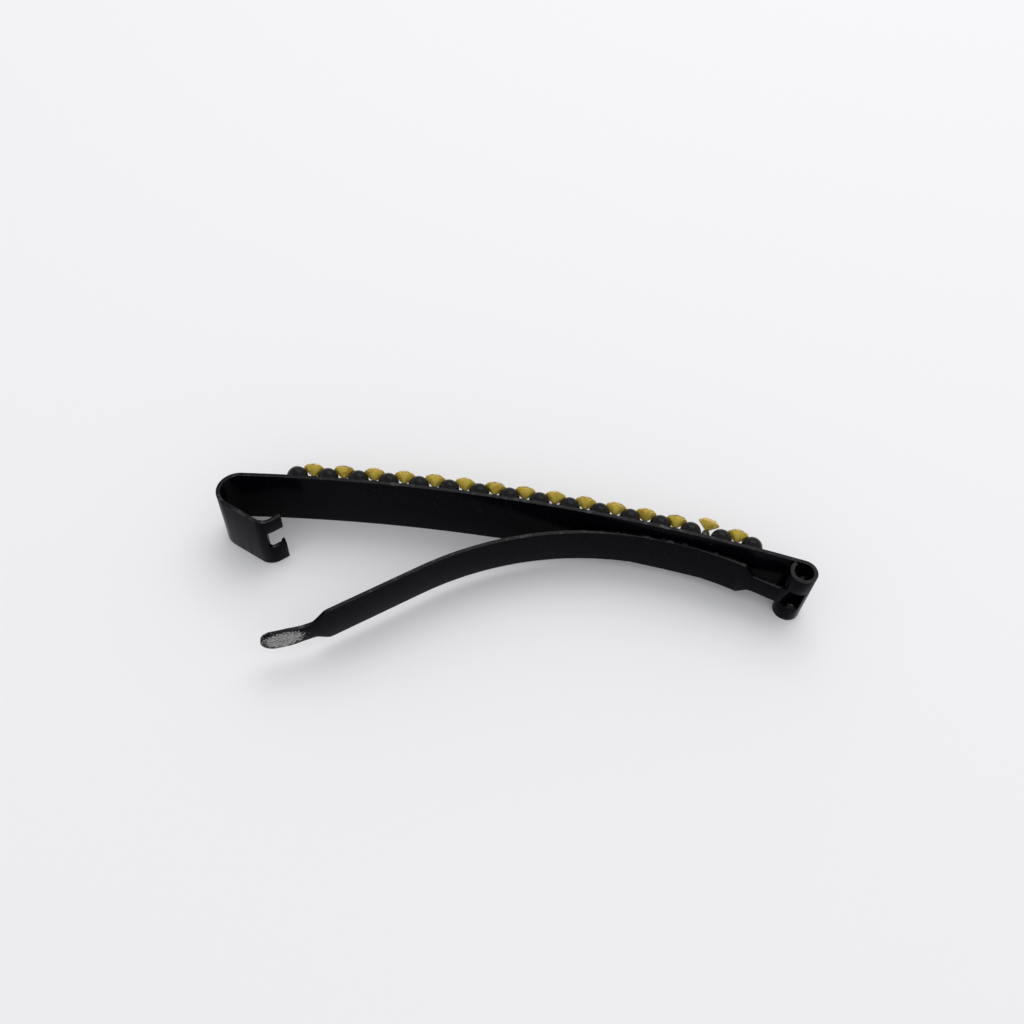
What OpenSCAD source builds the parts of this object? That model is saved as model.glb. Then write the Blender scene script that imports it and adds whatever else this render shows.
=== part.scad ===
// Slim bar hair clip: an arched steel bar with a bent catch at one end and a
// curled eye at the other, a bowed spring arm hooked into the eye by a T-shaped
// head, and a thin strip that carries two rows of beads with stones between.
// It lies on its long edge: X along the bar, Y outwards to the stones, Z up.

/* [Bar] */
// Overall length, catch to eye
bar_len = 68.64; // [50:0.01:90]
// Width of the strip, which is the height as it lies
bar_w = 8; // [6:0.5:14]
// Thickness of both steel strips
strip_t = 0.45; // [0.3:0.05:0.8]
// Radius of the outer face of the arch
arch_r = 212; // [150:1:400]
// Distance of the crest from the origin, along Y
crest_y = 9.26; // [0:0.005:20]

/* [Catch] */
// Outer radius of the catch bend
catch_r = 2.5; // [1.8:0.1:4]
// Angle the bend turns through
catch_turn = 148.3; // [120:0.1:170]
// Straight length of the leg
leg_len = 4.25; // [2:0.05:8]
// Outer radius of the curl at the finger tips
curl_r = 1.8; // [1:0.1:3]
// Angle of that curl
curl_turn = 68; // [20:1:90]
// Straight end of each finger
finger_len = 1.25; // [0.4:0.1:3]
// Depth of the notch from the finger tips, along X
notch_depth = 1.6; // [1:0.1:4]
// Lower and upper side of the notch
notch_z = [2.95, 5.95];
// Height and length of the lip on the lower finger
lip = [0.35, 0.5];

/* [Eye] */
// Outer radius of the curled eye
eye_r = 1.56; // [1.2:0.01:3]
// Angle the curl covers
eye_turn = 313; // [270:1:330]
// Where the slot for the neck starts
slot_from = -60; // [-80:1:0]
// Clearance each side of the neck in the slot
slot_gap = 0.25; // [0.1:0.05:0.5]

/* [Spring arm] */
// Width of the arm
arm_w = 5.2; // [3:0.1:8]
// Width of both necks
neck_w = 2.6; // [1.5:0.1:4]
// Length of the T-shaped head along Z
head_w = 5.4; // [4:0.1:7]
// Half length of the head across the eye
head_r = 1.05; // [0.8:0.01:1.5]
// Direction in which the neck leaves the eye
neck_dir = 210; // [190:1:230]
// Straight start of the neck
neck_start = 1.1; // [0.5:0.1:2]
// Radius and angle of the bend in the neck
neck_bend = [1.5, 48];
// Straight length from the bend to the bow
root_len = 4.2; // [2:0.1:8]
// Length of the sloping shoulders
shoulder = 1.2; // [0.5:0.1:3]
// Radius of the bow, at mid thickness
bow_r = 37.9; // [25:0.1:80]
// Angle of the bow
bow_turn = 58; // [20:1:90]
// Straight length after the bow
tail_len = 11.1; // [5:0.1:20]
// Radius and angle of the upturned tip
tip_bend = [20, 22.3];
// Full width, neck and head width stations of the tail
tail_at = [11.6, 12.95, 14.3, 15.7];
// Width of the rounded head at the tip
tip_w = 3; // [2:0.1:5]
// Arc distance of each flex line from the start of the bow
flex_at = [14.44, 19.44, 24.44, 29.44, 34.44];
// Gap between neighbouring lengths of the leaf
flex_gap = 0.05; // [0.02:0.01:0.2]

/* [Trim] */
// Beads in each row
beads = 16; // [4:1:24]
// Distance between bead centres
pitch = 3.555; // [2:0.001:6]
// How far the rows sit off centre, along the bar
trim_shift = 0.46; // [-3:0.01:3]
// Thickness and width of the carrier strip
band = [0.35, 6.9];
// Bead radius
bead_r = 1.25; // [0.8:0.05:2]
// Height of the bead centres above the bar
bead_h = 0.93; // [0.5:0.01:3]
// Distance of each row from its edge of the bar
row_in = 1.5; // [1:0.05:3]
// How much further in the stones sit than the beads
stones_in = 0.3; // [0:0.05:1]

/* [Stones] */
// Girdle radius
girdle_r = 1.25; // [0.8:0.01:2]
// Depth of the pointed back
back_h = 1.0; // [0.5:0.05:2]
// Height of the girdle band
girdle_h = 0.08; // [0.02:0.01:0.2]
// Height of the crown
crown_h = 0.36; // [0.1:0.01:0.8]
// Radius of the flat top
table_r = 0.78; // [0.4:0.01:1.2]
// Facets round each stone
facets = 12; // [6:1:12]
// Height of the tips above the bar
tip_h = 1.22; // [0.8:0.01:3]
// Gap under the strip, its extra height, and where beads and glue start on it
layer = [0.01, 0.004, 0.006];
// How far the glue reaches up past the tip of a stone
glue_past = 0.114;
// Foot and top radius of a drop of glue
glue_r = [0.5, 0.26];
// Lean of each row towards its own edge
row_lean = 13; // [0:1:25]
// Number of the lifted stone in the front row
loose = 14; // [1:1:15]
// Lift, lean to the edge and lean along the bar of that stone
loose_set = [0.6, 30, 8];

/* [Hidden] */
$fn = 96;
black = [0.05, 0.05, 0.06];
gold = [0.85, 0.62, 0.25];
clear = [0.86, 0.86, 0.82];

// Point at a distance from the arch centre, at an angle right of the crest
function arch(a, r) = [r * sin(a), r * cos(a) - arch_r + crest_y];
function along(p, d, n) = [p[0] + n * cos(d), p[1] + n * sin(d)];

arch_c = [0, crest_y - arch_r];
catch_at = asin((bar_len / 2 - catch_r) / (arch_r - catch_r));
eye_at = asin((bar_len / 2 - eye_r) / (arch_r - eye_r));
catch_c = arch(-catch_at, arch_r - catch_r);
eye_c = arch(eye_at, arch_r - eye_r);

leg_dir = catch_at + catch_turn - 180;
leg_from = along(catch_c, leg_dir - 90, catch_r);
leg_to = along(leg_from, leg_dir, leg_len);
curl_c = along(leg_to, leg_dir + 90, curl_r);
finger_dir = leg_dir + curl_turn;
finger_from = along(curl_c, finger_dir - 90, curl_r);
finger_to = along(finger_from, finger_dir, finger_len);

mid_z = bar_w / 2;
neck_end = along(eye_c, neck_dir, neck_start);
bend_c = along(neck_end, neck_dir - 90, neck_bend[0]);
root_dir = neck_dir - neck_bend[1];
root_from = along(bend_c, root_dir + 90, neck_bend[0]);
bow_from = along(root_from, root_dir, root_len);
bow_c = along(bow_from, root_dir + 90, bow_r);
bow_a = root_dir - 90;
bow_end = bow_a + bow_turn;
tail_dir = root_dir + bow_turn;
tail_from = along(bow_c, bow_end, bow_r);
tail_to = along(tail_from, tail_dir, tail_len);
tip_c = along(tail_to, tail_dir - 90, tip_bend[0]);
tip_a = tail_dir + 90;
tip_len = tip_bend[0] * sin(tip_bend[1]);

// Largest angle between neighbouring flats of a bent strip
tight = 7;
wide = 1.5;
gentle = 0.75;

step_a = pitch / arch_r * 180 / PI;
mid_a = trim_shift / arch_r * 180 / PI;
stones = beads - 1;

// Points on an arc from angle a0 to a1, no further apart than step degrees
function arc(c, r, a0, a1, step) =
    let (n = ceil(abs(a1 - a0) / step))
    [for (i = [0 : n]) along(c, a0 + (a1 - a0) * i / n, r)];
function back(list) = [for (i = [len(list) - 1 : -1 : 0]) list[i]];

// Outer or inner face of the bar strip, from the eye's edge to the finger tips
function bar_face(in) = concat(
    arc(eye_c, eye_r - in, 90 - eye_at - eye_turn, 90 - eye_at, tight),
    arc(arch_c, arch_r - in, 90 - eye_at, 90 + catch_at, gentle),
    arc(catch_c, catch_r - in, 90 + catch_at, leg_dir + 270, tight),
    arc(curl_c, curl_r - in, leg_dir - 90, finger_dir - 90, tight),
    [along(finger_to, finger_dir + 90, in)]);

// One face of the bow between two arc distances; off is measured outwards
function bow_face(s0, s1, off) = arc(bow_c, bow_r + off,
    bow_a + s0 / bow_r * 180 / PI, bow_a + s1 / bow_r * 180 / PI, wide);

// One face of the head, neck and root, up to the first flex line
function root_face(off) = concat(
    [along(along(eye_c, neck_dir, 0.03 - head_r), neck_dir - 90, off)],
    arc(bend_c, neck_bend[0] - off, neck_dir + 90, root_dir + 90, tight),
    bow_face(0, flex_at[0] - flex_gap / 2, off));

// One face of the last length, up to the tip
function tail_face(off) = concat(
    bow_face(flex_at[4] + flex_gap / 2, bow_r * bow_turn * PI / 180, off),
    arc(tip_c, tip_bend[0] - off, tip_a, tip_a - tip_bend[1], wide));

// Straight-sided slab seen edge on, with a side profile of [length, z] points
module plate(p, d, t) {
    translate([p[0], p[1], 0]) rotate([0, 0, d]) translate([0, t / 2, 0])
        rotate([90, 0, 0]) linear_extrude(t) children();
}

// Strip between two faces, from height z up by w
module strip(face_a, face_b, z, w) {
    translate([0, 0, z]) linear_extrude(w)
        polygon(concat(face_a, back(face_b)));
}

module top_bar() color(black) {
    slot_w = neck_w + 2 * slot_gap;
    difference() {
        strip(bar_face(0), bar_face(strip_t), 0, bar_w);
        // Notch between the fingers of the catch
        translate([finger_to[0] - notch_depth, leg_to[1] - 2, notch_z[0]])
            cube([notch_depth + 2, 4, notch_z[1] - notch_z[0]]);
        // Slot in the eye for the neck of the arm
        difference() {
            translate([eye_c[0] - 3, eye_c[1] - 3, mid_z - slot_w / 2])
                cube([3 + eye_r * cos(slot_from), 3 + eye_r * 0.55, slot_w]);
            translate([0, 0, -1])
                linear_extrude(bar_w + 2) polygon(concat(
                    arc(arch_c, arch_r + 1, 90 - eye_at - 1, 90, gentle),
                    arc(arch_c, arch_r - strip_t - 0.02, 90,
                        90 - eye_at - 1, gentle)));
        }
    }
    // Lip on the lower finger
    translate([finger_to[0], finger_to[1], notch_z[0] - 0.2])
        rotate([0, 0, finger_dir]) translate([-lip[1], 0, 0])
            cube([lip[1], strip_t, lip[0] + 0.2]);
}

module arm_root() color(black) {
    half_n = neck_w / 2;
    half_w = arm_w / 2;
    step_at = root_len - shoulder;
    difference() {
        strip(root_face(strip_t / 2), root_face(-strip_t / 2),
            mid_z - head_w / 2, head_w);
        // Waist between the head and the shoulders, on both edges
        difference() {
            for (k = [-1, 1])
                plate(root_from, root_dir, 9) polygon([
                    [-6, mid_z + k * half_n], [step_at, mid_z + k * half_n],
                    [root_len, mid_z + k * half_w], [24, mid_z + k * half_w],
                    [24, mid_z + k * bar_w], [-6, mid_z + k * bar_w]]);
            translate([eye_c[0], eye_c[1], -bar_w])
                cylinder(h = 3 * bar_w, r = head_r);
        }
    }
}

// Length n of the bow, cut back by half a gap at each end
module leaf_n(n) color(black) strip(
    bow_face(flex_at[n - 1] + flex_gap / 2, flex_at[n] - flex_gap / 2,
        strip_t / 2),
    bow_face(flex_at[n - 1] + flex_gap / 2, flex_at[n] - flex_gap / 2,
        -strip_t / 2),
    mid_z - arm_w / 2, arm_w);
module leaf_1() leaf_n(1);
module leaf_2() leaf_n(2);
module leaf_3() leaf_n(3);
module leaf_4() leaf_n(4);

// Last length: end of the bow, straight tail, neck and rounded upturned head
module leaf_5() color(black) {
    half_n = neck_w / 2;
    half_w = arm_w / 2;
    half_t = tip_w / 2;
    tip_end = tail_len + tip_len - 0.01;
    intersection() {
        strip(tail_face(strip_t / 2), tail_face(-strip_t / 2),
            mid_z - half_w, arm_w);
        plate(tail_from, tail_dir, 9) polygon(concat([
            [-12, mid_z + half_w + 1], [-12, mid_z - half_w - 1],
            [tail_at[0] - 0.4, mid_z - half_w - 1],
            [tail_at[0], mid_z - half_w], [tail_at[1], mid_z - half_n],
            [tail_at[2], mid_z - half_n], [tail_at[3], mid_z - half_t]],
            arc([tip_end - half_t, mid_z], half_t, -90, 90, tight),
            [[tail_at[3], mid_z + half_t], [tail_at[2], mid_z + half_n],
            [tail_at[1], mid_z + half_n], [tail_at[0], mid_z + half_w],
            [tail_at[0] - 0.4, mid_z + half_w + 1]]));
    }
}

// Thin carrier strip under both rows
module trim_band() color(black) {
    end_a = step_a * stones / 2 + (bead_r + 0.05) / arch_r * 180 / PI;
    from_a = 90 - mid_a - end_a;
    to_a = 90 - mid_a + end_a;
    strip(arc(arch_c, arch_r + band[0] + layer[1], from_a, to_a, gentle),
        arc(arch_c, arch_r + layer[0], from_a, to_a, gentle),
        mid_z - band[1] / 2, band[1]);
}

// One row of round beads, each with a flat where it sits on the strip
module bead_row(side) color(black) {
    cut = bead_h - band[0] - layer[2];
    for (i = [0 : beads - 1]) {
        a = mid_a + (i - stones / 2) * step_a;
        p = arch(a, arch_r + bead_h);
        translate([p[0], p[1], mid_z + side * (mid_z - row_in)])
            rotate([0, 0, -a]) rotate([-90, 0, 0]) rotate_extrude()
                intersection() {
                    circle(r = bead_r);
                    translate([0, -cut]) square([bead_r + 1, bead_r + cut + 1]);
                }
    }
}

module beads_front() bead_row(1);
module beads_back() bead_row(-1);

// One pointed-back stone, tip at the origin and flat top facing +Z
module chaton() {
    cylinder(h = back_h, r1 = 0.05, r2 = girdle_r, $fn = facets);
    translate([0, 0, back_h])
        cylinder(h = girdle_h, r = girdle_r, $fn = facets);
    translate([0, 0, back_h + girdle_h])
        cylinder(h = crown_h, r1 = girdle_r, r2 = table_r, $fn = facets);
}

// Places its children where stone n of a row sits; side is 1 or -1
module seat(n, side) {
    a = mid_a + (n - 1 - (stones - 1) / 2) * step_a;
    odd = side > 0 && n == loose;
    lift = odd ? loose_set[0] : 0;
    lean = odd ? loose_set[1] : row_lean + 1.5 * sin(n * 131);
    roll = odd ? loose_set[2] : 1.8 * sin(n * 77 + side * 40);
    p = arch(a, arch_r + tip_h + lift);
    translate([p[0], p[1], mid_z + side * (mid_z - row_in - stones_in)])
        rotate([0, 0, -a]) rotate([-90, 0, 0])
            rotate([side * lean, roll, 0]) children();
}

// Drops of glue from the strip up to the tips of one row
module glue(side) color(clear) {
    for (n = [1 : stones]) {
        a = mid_a + (n - 1 - (stones - 1) / 2) * step_a;
        p = arch(a, arch_r + band[0] + layer[2]);
        lift = side > 0 && n == loose ? loose_set[0] : 0;
        rise = tip_h + lift - band[0] + glue_past;
        difference() {
            translate([p[0], p[1], mid_z + side * (mid_z - row_in - stones_in)])
                rotate([0, 0, -a]) rotate([-90, 0, 0])
                    cylinder(h = rise, r1 = glue_r[0], r2 = glue_r[1]);
            seat(n, side) translate([0, 0, -0.02])
                cylinder(h = back_h, r1 = 0.06, r2 = girdle_r + 0.01);
        }
    }
}

module glue_front() glue(1);
module glue_back() glue(-1);
module front_stone(n) color(gold) seat(n, 1) chaton();
module back_stone(n) color(gold) seat(n, -1) chaton();
function tag(row, n) = str(row, "_stone_", n < 10 ? "0" : "", n);

top_bar();
arm_root();
leaf_1();
leaf_2();
leaf_3();
leaf_4();
leaf_5();
trim_band();
beads_front();
beads_back();
glue_front();
glue_back();
for (n = [1 : stones]) {
    front_stone(n);
    back_stone(n);
}
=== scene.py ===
"""Bar hair clip: models and finishes the clip's pieces around its fixed frame."""

import math

import bpy
from bpy.props import FloatProperty, FloatVectorProperty, IntProperty, PointerProperty
from bpy.types import Operator, Panel, PropertyGroup
from mathutils import Matrix, Vector


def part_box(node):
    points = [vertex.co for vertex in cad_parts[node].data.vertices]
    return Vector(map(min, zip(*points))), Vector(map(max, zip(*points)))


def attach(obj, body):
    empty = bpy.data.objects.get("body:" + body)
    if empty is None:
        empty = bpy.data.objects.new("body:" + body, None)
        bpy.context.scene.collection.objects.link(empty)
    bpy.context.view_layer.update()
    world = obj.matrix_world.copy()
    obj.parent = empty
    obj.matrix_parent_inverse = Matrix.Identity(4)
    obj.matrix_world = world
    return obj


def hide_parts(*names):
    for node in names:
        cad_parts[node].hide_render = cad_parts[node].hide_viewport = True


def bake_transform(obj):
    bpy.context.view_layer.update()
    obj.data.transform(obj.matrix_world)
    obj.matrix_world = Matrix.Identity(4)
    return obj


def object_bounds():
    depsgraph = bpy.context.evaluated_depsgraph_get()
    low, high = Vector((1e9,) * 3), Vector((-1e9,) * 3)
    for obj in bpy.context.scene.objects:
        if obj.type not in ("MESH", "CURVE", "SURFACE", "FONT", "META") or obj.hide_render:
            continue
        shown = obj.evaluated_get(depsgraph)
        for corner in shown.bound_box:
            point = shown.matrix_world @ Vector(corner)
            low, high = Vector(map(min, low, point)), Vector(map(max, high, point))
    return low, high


bl_info = {
    "name": "Bar Hair Clip",
    "version": (1, 0, 0),
    "blender": (4, 5, 0),
    "location": "View3D > Sidebar > Hair Clip",
    "description": "Models an enamelled bar clip with beads and cut stones",
    "category": "Add Mesh",
}

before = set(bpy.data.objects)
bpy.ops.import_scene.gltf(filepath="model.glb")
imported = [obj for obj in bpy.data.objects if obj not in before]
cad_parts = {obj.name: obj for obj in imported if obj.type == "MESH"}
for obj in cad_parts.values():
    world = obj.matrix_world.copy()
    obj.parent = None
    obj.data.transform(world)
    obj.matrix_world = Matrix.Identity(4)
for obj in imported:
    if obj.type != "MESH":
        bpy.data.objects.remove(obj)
CAD_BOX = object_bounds()
MM = 0.001
BAR_LOW, BAR_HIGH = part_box("top_bar")
MID_Z = (BAR_LOW.z + BAR_HIGH.z) / 2

# Clearances of the layers under the trim: below the strip, and above it
BED_GAP = 0.01 * MM
BEAD_GAP = 0.006 * MM
# Doubles are merged within this, and places compared within twice this
MERGE = 0.0005 * MM
# Largest angle of one facet: in tight bends, in the bow, along the carrier, in the arch
TIGHT, BOW_FACET = math.radians(6), math.radians(1)
CARRIER_FACET, ARCH_FACET = math.radians(0.5), math.radians(0.4)
# Edges sharper than this many degrees are rounded
SHARP = 35


def size(name, description, default):
    """A length in millimetres, stored in metres."""
    return FloatProperty(name=name, description=description,
                         default=default * MM, unit="LENGTH", precision=5)


def angle(name, description, default):
    """An angle in degrees, stored in radians."""
    return FloatProperty(name=name, description=description,
                         default=math.radians(default), unit="ROTATION")


def share(name, description, default):
    """A plain factor."""
    return FloatProperty(name=name, description=description, default=default,
                         subtype="FACTOR", soft_min=0.0, soft_max=1.0)


def colour(name, description, default):
    """A linear colour."""
    return FloatVectorProperty(name=name, description=description, default=default,
                               subtype="COLOR", size=3, min=0.0, max=1.0)


# ---- sizes

class ClipBarSizes(PropertyGroup):
    """The arched strip with its catch and its eye"""
    length: size("Length", "Overall length of the bar", (BAR_HIGH.x - BAR_LOW.x) / MM)
    width: size("Width", "Width of the strip", (BAR_HIGH.z - BAR_LOW.z) / MM)
    thickness: size("Thickness", "Thickness of both strips", 0.45)
    arch: size("Arch radius", "Radius of the arch's outer face", 212)
    crest: size("Crest", "Distance of the crest from the origin", BAR_HIGH.y / MM)
    edge: size("Rounded edge", "Radius of the enamelled edges", 0.12)
    catch_radius: size("Catch radius", "Outer radius of the catch bend", 2.5)
    catch_turn: angle("Catch turn", "Angle of the catch bend", 148.3)
    leg: size("Leg", "Straight length of the catch's leg", 4.25)
    curl_radius: size("Curl radius", "Outer radius of the curl at the fingers", 1.8)
    curl_turn: angle("Curl turn", "Angle of that curl", 68)
    finger: size("Finger", "Straight end of each finger", 1.25)
    notch: size("Notch depth", "Depth of the notch between the fingers", 1.6)
    notch_low: size("Notch lower side", "Height of the notch's lower side", 2.95)
    notch_high: size("Notch upper side", "Height of the notch's upper side", 5.95)
    notch_round: size("Notch corner", "Radius of the notch's corners", 0.42)
    lip: size("Lip rise", "Height of the lip on the lower finger", 0.45)
    lip_length: size("Lip length", "Length of the lip along the bar", 0.62)
    eye: size("Eye radius", "Outer radius of the curled eye", 1.56)
    eye_turn: angle("Eye turn", "Angle that the eye's curl covers", 313)
    slot_gap: size("Slot gap", "Clearance on each side of the neck", 0.25)
    slot_from: angle("Slot start", "Where the slot starts on the eye", -60)
    slot_top: share("Slot top", "Top of the slot over the eye's radius", 0.55)


class ClipArmSizes(PropertyGroup):
    """The bowed spring arm"""
    width: size("Width", "Width of the arm", 5.2)
    neck: size("Neck width", "Width of both necks", 2.6)
    head: size("Head width", "Width of the head inside the eye", 5.4)
    head_reach: size("Head reach", "Half length of the head across the eye", 1.05)
    head_step: size("Head step", "Slope from the head to the neck", 0.12)
    neck_heading: angle("Neck heading", "Direction in which the neck leaves the eye", 210)
    neck_start: size("Neck start", "Straight start of the neck", 1.1)
    bend_radius: size("Bend radius", "Radius of the bend in the neck", 1.5)
    bend: angle("Bend", "Angle of the bend in the neck", 48)
    root: size("Root", "Straight length before the bow", 4.2)
    shoulder: size("Shoulder", "Length of the sloping shoulders", 1.2)
    bow_radius: size("Bow radius", "Radius of the bow at mid thickness", 37.9)
    bow_turn: angle("Bow turn", "Angle of the bow", 58)
    flex_first: size("First flex line", "Distance of the first flex line along the bow", 14.44)
    flex_step: size("Flex step", "Distance between flex lines", 5.0)
    tail: size("Tail", "Straight length after the bow", 11.1)
    taper: size("Taper start", "Where the tail starts to narrow", 11.6)
    neck_from: size("Neck from", "Where the tail's neck starts", 12.95)
    neck_to: size("Neck to", "Where the tail's neck ends", 14.3)
    head_from: size("Tip from", "Where the rounded tip has its full width", 15.7)
    tip_radius: size("Tip bend radius", "Radius of the upturned tip", 20)
    tip_turn: angle("Tip bend", "Angle of the upturned tip", 22.3)
    tip: size("Tip width", "Full width of the rounded tip", 3.0)
    worn_at: share("Worn spot", "Where the bare spot lies along the tip's bend", 0.69)


class ClipTrimSizes(PropertyGroup):
    """The carrier strip, beads, stones and glue"""
    beads: IntProperty(name="Beads", description="Beads in each row", default=16)
    pitch: size("Pitch", "Distance between bead centres", 3.555)
    shift: size("Shift", "How far the rows sit off centre", 0.46)
    carrier: size("Carrier thickness", "Thickness of the strip under the rows", 0.35)
    carrier_width: size("Carrier width", "Width of the strip under the rows", 6.9)
    carrier_edge: size("Carrier edge", "Radius of that strip's edges", 0.06)
    carrier_past: size("Carrier overhang", "How far it reaches past the last bead", 0.05)
    bead: size("Bead radius", "Radius of a bead", 1.25)
    bead_height: size("Bead height", "Height of the bead centres above the bar", 0.93)
    bead_foot: size("Bead foot", "Height of the black glue under a bead", 0.09)
    row_in: size("Row inset", "Distance of each row from its edge", 1.5)
    girdle: size("Girdle radius", "Radius of a stone's girdle", 1.25)
    back: size("Back depth", "Depth of a stone's pointed back", 1.0)
    rim: size("Girdle height", "Height of a stone's girdle", 0.08)
    crown: size("Crown height", "Height of a stone's crown", 0.36)
    table: size("Table radius", "Radius of a stone's flat top", 0.78)
    tip_height: size("Tip height", "Height of the stones' tips above the bar", 1.22)
    glue_foot: size("Glue foot", "Radius of a drop of glue at its foot", 0.56)
    stones_in: size("Stone inset", "How far the stones sit in from the beads' row", 0.3)
    lean: angle("Row lean", "Lean of each row towards its own edge", 13)
    loose: IntProperty(name="Lifted stone", description="The stone that has lifted", default=14)
    loose_lift: size("Lift", "How far that stone has lifted", 0.6)
    loose_lean: angle("Lifted lean", "Lean of that stone towards the edge", 30)
    loose_roll: angle("Lifted roll", "Lean of that stone along the bar", 8)


class ClipFinish(PropertyGroup):
    """Colours and wear of the finishes"""
    enamel: colour("Enamel", "Black enamel", (0.0014, 0.0013, 0.0026))
    steel: colour("Steel", "Bare steel where the enamel has worn off", (0.42, 0.41, 0.40))
    satin: colour("Carrier", "Satin black of the carrier strip", (0.008, 0.008, 0.009))
    jet: colour("Beads", "Glossy black of the beads", (0.003, 0.003, 0.004))
    foil: colour("Foil", "Gold foil on the stones' backs", (1.0, 0.76, 0.13))
    foil_dark: colour("Dark foil", "Brown patches in the foil", (0.50, 0.26, 0.04))
    glass: colour("Glass", "Clear glass of the stones", (0.99, 0.97, 0.92))
    glue: colour("Glue", "Milky spots in the glue under the stones", (0.70, 0.66, 0.58))
    glue_dark: colour("Dark glue", "Clear glue over the black strip", (0.035, 0.03, 0.028))
    wear_length: size("Tip wear", "Half length of the bare patch at the arm's tip", 2.15)
    wear_width: size("Tip wear width", "Half width of the bare patch", 1.45)


class ClipStage(PropertyGroup):
    """Camera, floor and light"""
    eye: FloatVectorProperty(name="Camera", description="Place of the camera", size=3,
                             default=(5.165 * MM, -60.241 * MM, 100.153 * MM),
                             unit="LENGTH")
    pitch: angle("Pitch", "How far the camera looks down", 53.728)
    heading: angle("Heading", "How far the camera is turned to the left", 4.862)
    roll: angle("Roll", "How far the camera is rolled", 4.861)
    field: angle("Field of view", "Width of the camera's view", 54.2)
    floor: colour("Floor", "Pale floor", (0.86, 0.855, 0.865))
    span: size("Floor span", "Width of the floor", 3000)
    sky: share("Sky", "Strength of the even sky light", 0.86)
    window: FloatProperty(name="Soft light", description="Power of the large soft light",
                          default=0.6, unit="POWER")


# ---- plan of the clip

def along(point, heading, distance):
    """The point a distance away in a plan direction."""
    return point + Vector((math.cos(heading), math.sin(heading), 0)) * distance


class Plan:
    """Centres and headings of the bends, worked out from the sizes."""

    def __init__(self, clip):
        bar, arm = clip.bar, clip.arm
        quarter = math.pi / 2
        self.arch_centre = Vector((0, bar.crest - bar.arch, MID_Z))
        reach = bar.length / 2
        self.catch_at = math.asin((reach - bar.catch_radius) / (bar.arch - bar.catch_radius))
        self.eye_at = math.asin((reach - bar.eye) / (bar.arch - bar.eye))
        self.catch_centre = self.on_arch(-self.catch_at, bar.arch - bar.catch_radius)
        self.eye_centre = self.on_arch(self.eye_at, bar.arch - bar.eye)
        self.leg_heading = self.catch_at + bar.catch_turn - math.pi
        leg_from = along(self.catch_centre, self.leg_heading - quarter, bar.catch_radius)
        self.leg_to = along(leg_from, self.leg_heading, bar.leg)
        self.curl_centre = along(self.leg_to, self.leg_heading + quarter, bar.curl_radius)
        self.finger_heading = self.leg_heading + bar.curl_turn
        finger_from = along(self.curl_centre, self.finger_heading - quarter, bar.curl_radius)
        self.finger_to = along(finger_from, self.finger_heading, bar.finger)
        neck_end = along(self.eye_centre, arm.neck_heading, arm.neck_start)
        self.bend_centre = along(neck_end, arm.neck_heading - quarter, arm.bend_radius)
        self.root_heading = arm.neck_heading - arm.bend
        root_from = along(self.bend_centre, self.root_heading + quarter, arm.bend_radius)
        bow_from = along(root_from, self.root_heading, arm.root)
        self.bow_centre = along(bow_from, self.root_heading + quarter, arm.bow_radius)
        self.bow_angle = self.root_heading - quarter
        self.tail_heading = self.root_heading + arm.bow_turn
        tail_from = along(self.bow_centre, self.bow_angle + arm.bow_turn, arm.bow_radius)
        self.tail_to = along(tail_from, self.tail_heading, arm.tail)
        self.tip_centre = along(self.tail_to, self.tail_heading - quarter, arm.tip_radius)
        self.bow_radius = arm.bow_radius

    def on_arch(self, turn, radius):
        """A point at an angle right of the crest."""
        return self.arch_centre + Vector((math.sin(turn), math.cos(turn), 0)) * radius

    def on_bow(self, distance):
        """A point and the heading at a distance along the bow."""
        turn = self.bow_angle + distance / self.bow_radius
        return along(self.bow_centre, turn, self.bow_radius), turn + math.pi / 2


# ---- modelling steps

def edit():
    """Goes into edit mode."""
    bpy.ops.object.mode_set(mode="EDIT")


def leave():
    """Goes back to object mode."""
    bpy.ops.object.mode_set(mode="OBJECT")


def select_all():
    """Selects the whole mesh, in edit mode."""
    bpy.ops.mesh.select_all(action="SELECT")


def settle():
    """Applies the selected object's place, turn and scale to its mesh."""
    bpy.ops.object.transform_apply(location=True, rotation=True, scale=True)


def clear_selection():
    """Leaves nothing selected."""
    bpy.ops.object.select_all(action="DESELECT")


def made(name):
    """Names the object that an operator has just added."""
    piece = bpy.context.object
    piece.name = name
    piece.data.name = name
    return piece


def pick(piece, keep):
    """Selects the faces that a test keeps, in edit mode."""
    leave()
    chosen = [keep(face) for face in piece.data.polygons]
    edit()
    bpy.ops.mesh.select_mode(type="FACE")
    bpy.ops.mesh.select_all(action="DESELECT")
    leave()
    piece.data.polygons.foreach_set("select", chosen)
    edit()


def start_strip(name, place, heading, thickness, width):
    """Adds the cut end of a strip as one face and leaves it selected in edit mode."""
    clear_selection()
    bpy.ops.mesh.primitive_plane_add(size=1, location=place,
                                     rotation=(math.pi / 2, 0, heading + math.pi / 2))
    piece = made(name)
    piece.scale = (thickness, width, 1)
    settle()
    edit()
    bpy.ops.mesh.select_mode(type="FACE")
    select_all()
    return piece


def run(heading, distance):
    """Extrudes the selected end straight on."""
    step = along(Vector(), heading, distance)
    bpy.ops.mesh.extrude_region_move(TRANSFORM_OT_translate={"value": step})


def bend(centre, turn, flat):
    """Spins the selected end round a centre; flat is the largest angle of one facet."""
    steps = max(1, math.ceil(abs(turn) / flat - 1e-6))
    bpy.ops.mesh.spin(steps=steps, angle=turn, center=centre, axis=(0, 0, -1))


def widen(factor):
    """Scales the selected end about the middle of the strip's width."""
    bpy.ops.transform.resize(value=(1, 1, factor), center_override=(0, 0, MID_Z))


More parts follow.
